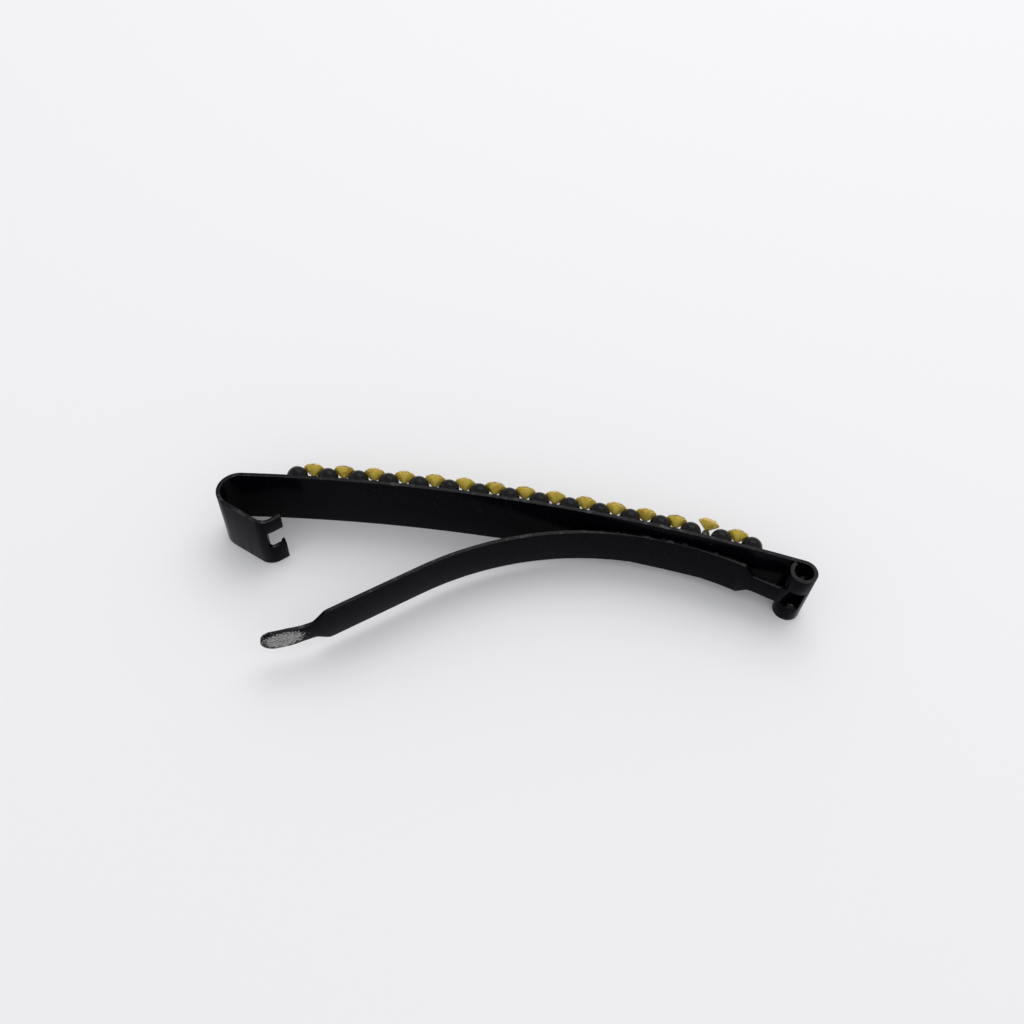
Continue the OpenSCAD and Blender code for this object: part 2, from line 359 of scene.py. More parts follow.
def end_strip():
    """Merges what lies on itself and turns the faces outwards."""
    select_all()
    bpy.ops.mesh.remove_doubles(threshold=MERGE)
    bpy.ops.mesh.normals_make_consistent(inside=False)
    leave()


def block(name, low, high):
    """A box between two corners, used as a cutter."""
    clear_selection()
    middle = [(a + b) / 2 for a, b in zip(low, high)]
    bpy.ops.mesh.primitive_cube_add(size=1, location=middle)
    cutter = made(name)
    cutter.scale = [b - a for a, b in zip(low, high)]
    settle()
    return cutter


def modify(piece, kind, **settings):
    """Adds a modifier with its settings and applies it."""
    use(piece)
    modifier = piece.modifiers.new(kind.title(), kind)
    for label, value in settings.items():
        setattr(modifier, label, value)
    bpy.ops.object.modifier_apply(modifier=modifier.name)


def cut_away(piece, cutter):
    """Cuts one shape out of another and removes the cutter."""
    modify(piece, "BOOLEAN", operation="DIFFERENCE", solver="EXACT", object=cutter)
    bpy.data.objects.remove(cutter)


def use(piece):
    """Makes a piece the only selected and active one."""
    clear_selection()
    piece.select_set(True)
    bpy.context.view_layer.objects.active = piece


def paint_edges(piece):
    """Gives the narrow faces along both edges of a strip its second material, the rim enamel
    with the painted highlight streaks.
    """
    for face in piece.data.polygons:
        face.material_index = 1 if abs(face.normal.z) > 0.97 else 0


def round_edges(piece, width, segments):
    """Bevels the sharp edges."""
    modify(piece, "BEVEL", width=width, segments=segments, limit_method="ANGLE",
           angle_limit=math.radians(SHARP), use_clamp_overlap=True)


def smooth(piece, limit=30):
    """Smooth shading up to an angle between faces."""
    use(piece)
    bpy.ops.object.shade_smooth_by_angle(angle=math.radians(limit))


def copy_of(master, name):
    """A copy with its own mesh."""
    copy = master.copy()
    copy.data = master.data.copy()
    copy.name = name
    copy.data.name = name
    bpy.context.collection.objects.link(copy)
    return copy


def put(piece, matrix):
    """Moves a piece's mesh to its place and leaves the object at the origin."""
    piece.data.transform(matrix)
    piece.data.update()


def finish_piece(piece, body, slot, *nodes):
    """Ties a rigid piece to its body and hides the nodes that it stands for; the slot is not
    used.
    """
    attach(piece, body)
    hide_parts(*nodes)


# ---- finishes

def new_group(name, inputs, outputs):
    """A shader node group with named sockets: (tree, input node, output node)."""
    tree = bpy.data.node_groups.new(name, "ShaderNodeTree")
    for label, kind, default in inputs:
        socket = tree.interface.new_socket(name=label, in_out="INPUT", socket_type=kind)
        if default is not None:
            socket.default_value = default
    for label, kind in outputs:
        tree.interface.new_socket(name=label, in_out="OUTPUT", socket_type=kind)
    return tree, tree.nodes.new("NodeGroupInput"), tree.nodes.new("NodeGroupOutput")


def noise(tree, vector, scale, detail=4.0, roughness=0.55):
    """A noise texture; scale is a number or a socket."""
    node = tree.nodes.new("ShaderNodeTexNoise")
    node.inputs["Detail"].default_value = detail
    node.inputs["Roughness"].default_value = roughness
    tree.links.new(vector, node.inputs["Vector"])
    feed(tree, scale, node.inputs["Scale"])
    return node.outputs["Fac"]


def feed(tree, value, socket):
    """Sets a socket to a number or links it to another socket."""
    if isinstance(value, bpy.types.NodeSocket):
        tree.links.new(value, socket)
    else:
        socket.default_value = value


def ramp(tree, value, low, high, to_low=0.0, to_high=1.0):
    """Smoothly maps a range onto another."""
    node = tree.nodes.new("ShaderNodeMapRange")
    node.interpolation_type = "SMOOTHSTEP"
    tree.links.new(value, node.inputs["Value"])
    for label, item in (("From Min", low), ("From Max", high),
                        ("To Min", to_low), ("To Max", to_high)):
        feed(tree, item, node.inputs[label])
    return node.outputs["Result"]


def maths(tree, operation, a, b=0.0):
    """One arithmetic step."""
    node = tree.nodes.new("ShaderNodeMath")
    node.operation = operation
    feed(tree, a, node.inputs[0])
    feed(tree, b, node.inputs[1])
    return node.outputs[0]


def blend_colour(tree, factor, a, b):
    """Mixes two colours, each a socket or a colour."""
    node = tree.nodes.new("ShaderNodeMix")
    node.data_type = "RGBA"
    feed(tree, factor, node.inputs["Factor"])
    for label, item in (("A", a), ("B", b)):
        socket = next(s for s in node.inputs if s.name == label and s.type == "RGBA")
        feed(tree, item if isinstance(item, bpy.types.NodeSocket) else (*item, 1), socket)
    return next(s for s in node.outputs if s.type == "RGBA")


def stretched(tree, vector, scale):
    """A vector scaled differently along each axis."""
    node = tree.nodes.new("ShaderNodeMapping")
    node.inputs["Scale"].default_value = scale
    tree.links.new(vector, node.inputs["Vector"])
    return node.outputs["Vector"]


def enamel_skin():
    """Fine orange peel, faint draw marks across the strip and dust, for stoved enamel."""
    tree, start, end = new_group(
        "Enamel skin",
        [("Vector", "NodeSocketVector", None), ("Smooth", "NodeSocketFloat", 0.2),
         ("Rough", "NodeSocketFloat", 0.35)],
        [("Roughness", "NodeSocketFloat"), ("Height", "NodeSocketFloat"),
         ("Dust", "NodeSocketFloat")])
    place = start.outputs["Vector"]
    peel = noise(tree, place, 2600.0, 2.0)
    marks = noise(tree, stretched(tree, place, (1.0, 1.0, 0.04)), 2200.0, 3.0)
    cloud = noise(tree, place, 160.0, 3.0)
    specks = noise(tree, place, 5200.0, 1.0)
    streaks = ramp(tree, marks, 0.35, 0.75)
    both = maths(tree, "ADD", maths(tree, "MULTIPLY", cloud, 0.65),
                 maths(tree, "MULTIPLY", streaks, 0.35))
    rough = ramp(tree, both, 0.25, 0.75, start.outputs["Smooth"], start.outputs["Rough"])
    height = maths(tree, "ADD", maths(tree, "MULTIPLY", peel, 0.5),
                   maths(tree, "MULTIPLY", marks, 0.5))
    tree.links.new(rough, end.inputs["Roughness"])
    tree.links.new(height, end.inputs["Height"])
    tree.links.new(ramp(tree, specks, 0.70, 0.78), end.inputs["Dust"])
    return tree


def mottle():
    """Two colours in fine crinkled patches, as on thin foil and drawn metal."""
    tree, start, end = new_group(
        "Mottle",
        [("Vector", "NodeSocketVector", None), ("Scale", "NodeSocketFloat", 1000.0),
         ("Low", "NodeSocketFloat", 0.35), ("High", "NodeSocketFloat", 0.65),
         ("First", "NodeSocketColor", None), ("Second", "NodeSocketColor", None)],
        [("Colour", "NodeSocketColor"), ("Mask", "NodeSocketFloat"),
         ("Height", "NodeSocketFloat")])
    grain = noise(tree, start.outputs["Vector"], start.outputs["Scale"], 5.0, 0.65)
    mask = ramp(tree, grain, start.outputs["Low"], start.outputs["High"])
    tint = blend_colour(tree, mask, start.outputs["First"], start.outputs["Second"])
    tree.links.new(tint, end.inputs["Colour"])
    tree.links.new(mask, end.inputs["Mask"])
    tree.links.new(grain, end.inputs["Height"])
    return tree


GROUPS = {"Enamel skin": enamel_skin, "Mottle": mottle}


class Finish:
    """A new material, with short calls for its nodes."""

    def __init__(self, name, **constants):
        self.material = bpy.data.materials.new(name)
        self.material.use_nodes = True
        self.tree = self.material.node_tree
        self.shader = next(n for n in self.tree.nodes if n.type == "BSDF_PRINCIPLED")
        for label, value in constants.items():
            self.shader.inputs[label.replace("_", " ")].default_value = value

    def place(self, attribute=None):
        """Object coordinates, or a piece's own attribute."""
        if attribute:
            node = self.tree.nodes.new("ShaderNodeAttribute")
            node.attribute_name = attribute
            return node.outputs["Vector"]
        return self.tree.nodes.new("ShaderNodeTexCoord").outputs["Object"]

    def group(self, name, **values):
        """Places a shared node group with its own values."""
        node = self.tree.nodes.new("ShaderNodeGroup")
        node.node_tree = bpy.data.node_groups.get(name) or GROUPS[name]()
        for label, value in values.items():
            feed(self.tree, value, node.inputs[label])
        return node.outputs

    def set(self, label, value):
        """Feeds one of the shader's inputs."""
        feed(self.tree, value, self.shader.inputs[label])

    def bump(self, height, depth, strength=1.0):
        """Adds relief; depth is the height of the relief in metres."""
        node = self.tree.nodes.new("ShaderNodeBump")
        node.inputs["Strength"].default_value = strength
        node.inputs["Distance"].default_value = depth
        self.tree.links.new(height, node.inputs["Height"])
        self.tree.links.new(node.outputs["Normal"], self.shader.inputs["Normal"])


def enamel_faces(name, looks, attribute=None, patch=None):
    """Black enamel of the flat faces; patch is the (place, heading) of a bare worn spot."""
    finish = Finish(name, Specular_IOR_Level=0.035, IOR=1.5)
    place = finish.place(attribute)
    skin = finish.group("Enamel skin", Vector=place, Smooth=0.16, Rough=0.30)
    paint = blend_colour(finish.tree, maths(finish.tree, "MULTIPLY", skin["Dust"], 0.05),
                         looks.enamel, (0.5, 0.5, 0.5))
    rough = skin["Roughness"]
    if patch:
        bare = worn_patch(finish, place, patch, looks)
        metal = finish.group("Mottle", Vector=place, Scale=6500.0, Low=0.38, High=0.58,
                             First=(0.05, 0.05, 0.05, 1), Second=(*looks.steel, 1))
        paint = blend_colour(finish.tree, bare, paint, metal["Colour"])
        rough = ramp(finish.tree, bare, 0.0, 1.0, rough, 0.45)
        finish.set("Metallic", maths(finish.tree, "MULTIPLY", bare, 0.75))
    finish.set("Base Color", paint)
    finish.set("Roughness", rough)
    finish.bump(skin["Height"], 0.0012 * MM, 0.6)
    return finish.material


def worn_patch(finish, place, patch, looks):
    """Mask of the speckled bare metal, an ellipse round a place on the strip."""
    tree = finish.tree
    centre, heading = patch
    node = tree.nodes.new("ShaderNodeMapping")
    node.vector_type = "TEXTURE"
    node.inputs["Location"].default_value = centre
    node.inputs["Rotation"].default_value = (0, 0, heading)
    node.inputs["Scale"].default_value = (looks.wear_length, looks.wear_width * 4,
                                          looks.wear_width)
    tree.links.new(place, node.inputs["Vector"])
    length = tree.nodes.new("ShaderNodeVectorMath")
    length.operation = "LENGTH"
    tree.links.new(node.outputs["Vector"], length.inputs[0])
    grain = noise(tree, place, 3800.0, 4.0, 0.7)
    edge = maths(tree, "ADD", length.outputs["Value"],
                 maths(tree, "MULTIPLY", maths(tree, "SUBTRACT", grain, 0.5), 2.2))
    return ramp(tree, edge, 0.82, 1.02, 1.0, 0.0)


def enamel_rims(name, looks, attribute=None):
    """Thin enamel over the rounded edges; streaks of dim steel grey in its colour are partly
    rubbed wear and partly a painted highlight along the edges.
    """
    finish = Finish(name, Specular_IOR_Level=0.13, IOR=1.5)
    place = finish.place(attribute)
    skin = finish.group("Enamel skin", Vector=place, Smooth=0.14, Rough=0.34)
    # Painted highlight, partly real rubbing: a mottle of enamel and dim steel grey lightens the
    # rims in streaks where the edges catch the light
    rub_and_highlight = finish.group("Mottle", Vector=place, Scale=900.0, Low=0.5, High=0.85,
                       First=(*looks.enamel, 1),
                       Second=(*[0.25 * c for c in looks.steel], 1))
    finish.set("Base Color", rub_and_highlight["Colour"])
    finish.set("Metallic", maths(finish.tree, "MULTIPLY", rub_and_highlight["Mask"], 0.35))
    finish.set("Roughness", skin["Roughness"])
    finish.bump(skin["Height"], 0.002 * MM, 0.6)
    return finish.material


def satin_strip(looks):
    """Satin black of the carrier strip."""
    finish = Finish("Satin carrier", Specular_IOR_Level=0.35)
    skin = finish.group("Enamel skin", Vector=finish.place(), Smooth=0.35, Rough=0.6)
    finish.set("Base Color", blend_colour(finish.tree, skin["Dust"], looks.satin,
                                          (0.03, 0.03, 0.03)))
    finish.set("Roughness", skin["Roughness"])
    finish.bump(skin["Height"], 0.003 * MM, 0.8)
    return finish.material


def jet_beads(looks):
    """Glossy black of the beads, with slight waviness and a little dust."""
    finish = Finish("Jet beads", Specular_IOR_Level=0.13, IOR=1.52)
    place = finish.place()
    spots = finish.group("Mottle", Vector=place, Scale=5200.0, Low=0.66, High=0.74,
                         First=(*looks.jet, 1), Second=(0.06, 0.055, 0.05, 1))
    finish.set("Base Color", spots["Colour"])
    wave = noise(finish.tree, place, 700.0, 2.0)
    finish.set("Roughness", ramp(finish.tree, spots["Mask"], 0.0, 1.0, 0.09, 0.4))
    finish.bump(wave, 0.02 * MM, 0.35)
    return finish.material


def gold_foil(looks):
    """Crinkled gold foil on the backs of the stones, with brown patches."""
    finish = Finish("Gold foil", Metallic=0.1)
    place = finish.place()
    fine = finish.group("Mottle", Vector=place, Scale=5200.0, Low=0.22, High=0.52,
                        First=(*looks.foil_dark, 1), Second=(*looks.foil, 1))
    patches = noise(finish.tree, place, 620.0, 2.0)
    deep = ramp(finish.tree, patches, 0.52, 0.70)
    share_dark = maths(finish.tree, "MULTIPLY", deep, 0.55)
    finish.set("Base Color", blend_colour(finish.tree, share_dark, fine["Colour"],
                                          looks.foil_dark))
    finish.set("Roughness", ramp(finish.tree, fine["Mask"], 0.0, 1.0, 0.55, 0.30))
    finish.bump(fine["Height"], 0.03 * MM, 0.5)
    return finish.material


def clear_glass(looks):
    """Clear glass of the stones' crowns."""
    finish = Finish("Clear glass", Transmission_Weight=1.0, IOR=1.54, Roughness=0.02)
    smear = finish.group("Mottle", Vector=finish.place(), Scale=1500.0, Low=0.5, High=0.9,
                         First=(*looks.glass, 1),
                         Second=(*[0.9 * c for c in looks.glass], 1))
    finish.set("Base Color", smear["Colour"])
    return finish.material


def milky_glue(looks):
    """Dark clear glue with milky spots under the stones."""
    finish = Finish("Milky glue", Transmission_Weight=0.35, IOR=1.48)
    place = finish.place()
    cloud = finish.group("Mottle", Vector=place, Scale=2400.0, Low=0.55, High=0.8,
                         First=(*looks.glue_dark, 1), Second=(*looks.glue, 1))
    finish.set("Base Color", cloud["Colour"])
    finish.set("Roughness", ramp(finish.tree, cloud["Mask"], 0.0, 1.0, 0.15, 0.4))
    finish.bump(cloud["Height"], 0.03 * MM, 0.5)
    return finish.material


def pale_floor(stage):
    """Plain pale floor."""
    finish = Finish("Pale floor", Specular_IOR_Level=0.1)
    finish.set("Base Color", (*stage.floor, 1))
    finish.set("Roughness", 0.95)
    return finish.material


# ---- operators

# Steps in millimetres along the lip, and the share of its rise after each
LIP_PROFILE = ((0.1, 0.8), (0.15, 1.0), (0.25, 0.4), (0.12, -0.9), (2.0, -0.9))


class CLIP_OT_bar(Operator):
    """Bends the arched strip with its catch and eye, and cuts the notch and the slot"""
    bl_idname = "clip.bar"
    bl_label = "Arched Bar"

    def execute(self, context):
        clip = context.scene.clip
        bar, arm, plan = clip.bar, clip.arm, Plan(clip)
        start = along(plan.finger_to, plan.finger_heading + math.pi / 2, bar.thickness / 2)
        strip = start_strip("top_bar_enamelled", start, plan.finger_heading + math.pi,
                            bar.thickness, bar.width)
        run(plan.finger_heading + math.pi, bar.finger)
        bend(plan.curl_centre, -bar.curl_turn, TIGHT)
        run(plan.leg_heading + math.pi, bar.leg)
        bend(plan.catch_centre, -bar.catch_turn, TIGHT)
        bend(plan.arch_centre, -(plan.catch_at + plan.eye_at), ARCH_FACET)
        bend(plan.eye_centre, -bar.eye_turn, TIGHT)
        end_strip()
        self.cut_notch(strip, bar, plan)
        self.cut_slot(strip, bar, arm, plan)
        looks = clip.finish
        strip.data.materials.append(enamel_faces("Bar enamel", looks))
        strip.data.materials.append(enamel_rims("Bar edge enamel", looks))
        round_edges(strip, bar.edge, 3)
        paint_edges(strip)
        smooth(strip)
        finish_piece(strip, "bar", "bar_enamel", "top_bar")
        return {"FINISHED"}

    def cut_notch(self, strip, bar, plan):
        """Cuts the notch between the fingers and leaves the lip on the lower one."""
        tip = plan.finger_to
        inner = tip.x - bar.notch
        spare = 2 * MM
        below, above = plan.leg_to.y - spare, plan.leg_to.y + spare
        floor = BAR_LOW.z + bar.notch_low
        ceiling = BAR_LOW.z + bar.notch_high
        lip_from = tip.x - bar.lip_length
        cutter = block("notch", (inner, below, floor), (lip_from, above, ceiling))
        edit()
        pick(cutter, lambda face: face.normal.x > 0.9)
        height = opening = bar.notch_high - bar.notch_low
        for reach, rise in LIP_PROFILE:
            run(0.0, reach * MM)
            wanted = opening - rise * bar.lip
            bpy.ops.transform.resize(value=(1, 1, wanted / height),
                                     center_override=(0, 0, ceiling))
            height = wanted
        bpy.ops.mesh.select_mode(type="EDGE")
        leave()
        self.pick_edges(cutter, inner)
        edit()
        bpy.ops.mesh.bevel(offset=bar.notch_round, segments=5, affect="EDGES")
        leave()
        cut_away(strip, cutter)

    def pick_edges(self, cutter, inner):
        """Selects the two long edges at the cutter's inner end."""
        mesh = cutter.data
        for edge in mesh.edges:
            ends = [mesh.vertices[k].co for k in edge.vertices]
            at_end = all(abs(point.x - inner) < 2 * MERGE for point in ends)
            edge.select = at_end and abs(ends[0].z - ends[1].z) < 2 * MERGE
        for item in (*mesh.polygons, *mesh.vertices):
            item.select = False

    def cut_slot(self, strip, bar, arm, plan):
        """Cuts the slot that the arm's neck leaves the eye by."""
        half = arm.neck / 2 + bar.slot_gap
        centre = plan.eye_centre
        spare = 3 * MM
        low = (centre.x - spare, centre.y - spare, MID_Z - half)
        high = (centre.x + bar.eye * math.cos(bar.slot_from),
                centre.y + bar.eye * bar.slot_top, MID_Z + half)
        cut_away(strip, block("slot", low, high))


class CLIP_OT_arm(Operator):
    """Bends the spring arm and parts it where it flexes"""
    bl_idname = "clip.arm"
    bl_label = "Spring Arm"

    def execute(self, context):
        clip = context.scene.clip
        plan = Plan(clip)
        strip = self.bend_strip(clip, plan)
        looks = clip.finish
        patch = self.worn_place(clip, plan)
        strip.data.materials.append(enamel_faces("Arm enamel", looks, "rest_place", patch))
        strip.data.materials.append(enamel_rims("Arm edge enamel", looks, "rest_place"))
        round_edges(strip, clip.bar.edge, 3)
        paint_edges(strip)
        self.part(strip, clip.arm, plan)
        bpy.data.objects.remove(strip)
        return {"FINISHED"}

    def bend_strip(self, clip, plan):
        """The whole arm from the head in the eye to the rounded tip."""
        arm = clip.arm
        start = along(plan.eye_centre, arm.neck_heading, -arm.head_reach)
        strip = start_strip("spring_arm", start, arm.neck_heading, clip.bar.thickness, arm.head)
        run(arm.neck_heading, 2 * arm.head_reach - arm.head_step)
        run(arm.neck_heading, arm.head_step)
        widen(arm.neck / arm.head)
        run(arm.neck_heading, arm.neck_start - arm.head_reach)
        bend(plan.bend_centre, -arm.bend, TIGHT)
        run(plan.root_heading, arm.root - arm.shoulder)
        run(plan.root_heading, arm.shoulder)
        widen(arm.width / arm.neck)
        half_step = arm.flex_step / 2
        reach = 0.0
        for end in [arm.flex_first + half_step * k for k in range(1, 9, 2)]:
            bend(plan.bow_centre, (end - reach) / arm.bow_radius, BOW_FACET)
            reach = end
        bend(plan.bow_centre, arm.bow_turn - reach / arm.bow_radius, BOW_FACET)
        run(plan.tail_heading, arm.tail)
        self.shape_tip(arm, plan)
        end_strip()
        return strip

    def shape_tip(self, arm, plan):
        """Narrows the tail to its neck and rounds the tip, along the upturned end."""
        end = arm.tail + arm.tip_radius * arm.tip_turn
        half = arm.tip / 2
        before, after = 0.35 * MM, 0.3 * MM      # lengths of the rounded shoulders
        little, more = 0.14 * MM, 0.62 * MM      # what they take off the width
        stations = [(arm.tail, arm.width), (arm.taper - before, arm.width),
                    (arm.taper, arm.width - little), (arm.taper + after, arm.width - more),
                    (arm.neck_from - after, arm.neck + more),
                    (arm.neck_from, arm.neck + little), (arm.neck_from + before, arm.neck),
                    (arm.neck_to, arm.neck),
                    ((arm.neck_to + arm.head_from) / 2, (arm.neck + arm.tip) / 2),
                    (arm.head_from, arm.tip)]
        rounds = 14
        for k in range(1, rounds + 1):
            turn = math.pi / 2 * k / (rounds + 0.5)
            stations.append((end - half + half * math.sin(turn), arm.tip * math.cos(turn)))
        longest = 0.4 * MM
        for (reach, width), (place, wanted) in zip(stations, stations[1:]):
            parts = max(1, math.ceil((place - reach) / longest))
            turn = (reach - place) / arm.tip_radius / parts
            for part in range(parts):
                bend(plan.tip_centre, turn, TIGHT)
                before = width + (wanted - width) * part / parts
                after = width + (wanted - width) * (part + 1) / parts
                widen(after / before)

    def worn_place(self, clip, plan):
        """Centre and heading of the bare patch on the tip."""
        arm = clip.arm
        turn = arm.tip_turn * arm.worn_at
        radius_angle = plan.tail_heading + math.pi / 2 - turn
        return along(plan.tip_centre, radius_angle, arm.tip_radius), plan.tail_heading - turn

    def part(self, strip, arm, plan):
        """Cuts the arm half way between the flex lines, one part over each line."""
        bodies = ["arm", "leaf_1", "leaf_2", "leaf_3", "leaf_4", "leaf_5"]
        bend_half = 0.44 * arm.flex_step
        for k in range(5):
            flex = arm.flex_first + k * arm.flex_step
            piece = copy_of(strip, f"arm_part_{k + 1}")
            if k > 0:
                self.trim(piece, plan, flex - arm.flex_step / 2, keep_after=True)
            if k < 4:
                self.trim(piece, plan, flex + arm.flex_step / 2, keep_after=False)
            smooth(piece)
            self.keep_rest_place(piece)
            nodes = [bodies[k + 1]] if k else ["arm_root", "leaf_1"]
            start, end = (plan.on_bow(flex + side * bend_half)[0] for side in (-1, 1))
            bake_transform(piece)
            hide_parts(*nodes)

    def trim(self, piece, plan, distance, keep_after):
        """Cuts the piece square across the bow and closes the cut."""
        place, heading = plan.on_bow(distance)
        forward = along(Vector(), heading, 1.0)
        use(piece)
        edit()
        select_all()
        bpy.ops.mesh.bisect(plane_co=place, plane_no=forward, use_fill=True,
                            clear_inner=keep_after, clear_outer=not keep_after,
                            threshold=0.002 * MM)
        leave()

    def keep_rest_place(self, piece):
        """Stores each point's place, so that patterns stay put as the arm bends."""
        places = [axis for point in piece.data.vertices for axis in point.co]
        layer = piece.data.attributes.new("rest_place", "FLOAT_VECTOR", "POINT")
        layer.data.foreach_set("vector", places)


class CLIP_OT_carrier(Operator):
    """Bends the thin strip that carries both rows"""
    bl_idname = "clip.carrier"
    bl_label = "Carrier Strip"

    def execute(self, context):
        clip = context.scene.clip
        bar, trim, plan = clip.bar, clip.trim, Plan(clip)
        middle = trim.shift / bar.arch
        past = trim.bead + trim.carrier_past
        reach = (trim.pitch * (trim.beads - 1) / 2 + past) / bar.arch
        thickness = trim.carrier - BEAD_GAP
        start = plan.on_arch(middle - reach, bar.arch + BED_GAP + thickness / 2)
        strip = start_strip("carrier_strip", start, reach - middle, thickness,
                            trim.carrier_width)
        bend(plan.arch_centre, -2 * reach, CARRIER_FACET)
        end_strip()
        strip.data.materials.append(satin_strip(clip.finish))
        round_edges(strip, trim.carrier_edge, 2)
        smooth(strip)
        finish_piece(strip, "bar", "carrier", "trim_band")
        return {"FINISHED"}


def row_turn(clip, n):
    """Angle of place n in a row along the arch; beads have whole n, stones half ones."""
    trim = clip.trim
    return (trim.shift + (n - (trim.beads - 1) / 2) * trim.pitch) / clip.bar.arch


def seat_matrix(clip, plan, turn, side, height, lean=0.0, roll=0.0):
    """Frame of a bead or stone: Z away from the bar, Y along the strip's width."""
    place = plan.on_arch(turn, clip.bar.arch + height)
    place.z = MID_Z + side * (clip.bar.width / 2 - clip.trim.row_in)
    upright = Matrix.Rotation(-turn, 4, "Z") @ Matrix.Rotation(-math.pi / 2, 4, "X")
    leaning = Matrix.Rotation(roll, 4, "Y") @ Matrix.Rotation(side * lean, 4, "X")
    return Matrix.Translation(place) @ upright @ leaning


ROWS = (("front", 1), ("back", -1))


class CLIP_OT_beads(Operator):
    """Models one bead and sets the two rows of them"""
    bl_idname = "clip.beads"
    bl_label = "Beads"

    def execute(self, context):
        clip = context.scene.clip
        trim, plan = clip.trim, Plan(clip)
        master = self.model_bead(clip)
        for row, side in ROWS:
            for n in range(trim.beads):
                turn = row_turn(clip, n)
                bead = copy_of(master, f"bead_{row}_{n + 1:02d}")
                flip = Matrix.Rotation(math.pi * (n % 2), 4, "Z")
                put(bead, seat_matrix(clip, plan, turn, side, trim.bead_height) @ flip)
                smooth(bead, 50)
                finish_piece(bead, "bar", "beads", f"beads_{row}")
        bpy.data.objects.remove(master)
        return {"FINISHED"}

    def model_bead(self, clip):
        """A round bead, ground flat where it sits, with a thin foot of black glue."""
        trim = clip.trim
        clear_selection()
        bpy.ops.mesh.primitive_uv_sphere_add(segments=40, ring_count=24, radius=trim.bead)
        bead = made("bead")
        base = trim.carrier - trim.bead_height + BEAD_GAP
        foot = trim.bead_foot
        edit()
        select_all()
        bpy.ops.mesh.bisect(plane_co=(0, 0, base + foot), plane_no=(0, 0, 1),
                            use_fill=True, clear_inner=True, threshold=2 * MERGE)
        pick(bead, lambda face: face.normal.z < -0.9 and face.center.z < base + 1.1 * foot)
        bpy.ops.mesh.extrude_region_move(TRANSFORM_OT_translate={"value": (0, 0, -foot)})
        bpy.ops.transform.resize(value=(1.03, 1.03, 1), center_override=(0, 0, base))
        end_strip()
        bead.data.materials.append(jet_beads(clip.finish))
        return bead


class CLIP_OT_stones(Operator):
    """Cuts one pointed-back stone and sets the two rows of them"""
    bl_idname = "clip.stones"
    bl_label = "Cut Stones"

    def execute(self, context):
        clip = context.scene.clip
        trim, plan = clip.trim, Plan(clip)
        master = self.cut_stone(clip)
        for row, side in ROWS:
            for n in range(1, trim.beads):
                turn = row_turn(clip, n - 0.5)
                lifted = side > 0 and n == trim.loose
                # small uneven leans, the same ones as in the part
                lean = trim.lean + math.radians(1.5 * math.sin(math.radians(n * 131)))
                roll = math.radians(1.8 * math.sin(math.radians(n * 77 + side * 40)))
                height = trim.tip_height
                if lifted:
                    lean, roll = trim.loose_lean, trim.loose_roll
                    height += trim.loose_lift
                stone = copy_of(master, f"stone_{row}_{n:02d}")
                spin = Matrix.Rotation(n * 1.7 + side, 4, "Z")
                inset = Matrix.Translation((0, 0, -side * trim.stones_in))
                seat = seat_matrix(clip, plan, turn, side, height, lean, roll)
                put(stone, inset @ seat @ spin)
                finish_piece(stone, "bar", "stones", f"{row}_stone_{n:02d}")
        bpy.data.objects.remove(master)
        return {"FINISHED"}

    def cut_stone(self, clip):
        """Grinds the facets off a round blank, as a cutter does: tip at the origin."""
        trim = clip.trim
        girdle_z = trim.back
        top = trim.back + trim.rim + trim.crown
        clear_selection()
        bpy.ops.mesh.primitive_cylinder_add(vertices=48, radius=trim.girdle, depth=top,
                                            location=(0, 0, top / 2))
        stone = made("stone")
        settle()
        edit()
        back_slope = math.atan2(trim.girdle - 0.05 * MM, trim.back)
        crown_slope = math.atan2(trim.crown, trim.girdle - trim.table)
        rim_low = Vector((trim.girdle, 0, girdle_z))
        rim_high = Vector((trim.girdle, 0, girdle_z + trim.rim))
        for k in range(8):
            self.grind(k * math.pi / 4, rim_low, Vector((math.cos(back_slope), 0,
                                                         -math.sin(back_slope))))
            self.grind(k * math.pi / 4, rim_high, Vector((math.sin(crown_slope), 0,
                                                          math.cos(crown_slope))))
        steeper = back_slope - math.radians(7)       # the girdle's small lower facets
        flatter = crown_slope - math.radians(11)     # the star facets round the top
        star = Vector((trim.table * 1.06, 0, top))
        low = rim_low + Vector((0, 0, -0.02 * MM))
        for k in range(16):
            turn = (k + 0.5) * math.pi / 8
            self.grind(turn, low, Vector((math.cos(steeper), 0, -math.sin(steeper))))
        for k in range(8):
            turn = (k + 0.5) * math.pi / 4
            self.grind(turn, star, Vector((math.sin(flatter), 0, math.cos(flatter))))
        select_all()
        bpy.ops.mesh.remove_doubles(threshold=0.004 * MM)
        bpy.ops.mesh.normals_make_consistent(inside=False)
        leave()
        stone.data.materials.append(gold_foil(clip.finish))
        stone.data.materials.append(clear_glass(clip.finish))
        for face in stone.data.polygons:
            face.use_smooth = False
            face.material_index = 0 if face.normal.z < -0.1 else 1
        return stone

    def grind(self, turn, place, normal):
        """Cuts off what lies outside one facet's plane."""
        spin = Matrix.Rotation(turn, 3, "Z")
        select_all()
        bpy.ops.mesh.bisect(plane_co=spin @ place, plane_no=spin @ normal, use_fill=True,
                            clear_outer=True, threshold=MERGE)


# Share of a drop's height, and its radius there over that of its foot
DROP_PROFILE = ((0.1, 0.97), (0.35, 0.92), (0.65, 0.88), (0.88, 0.8), (1.0, 0.6))


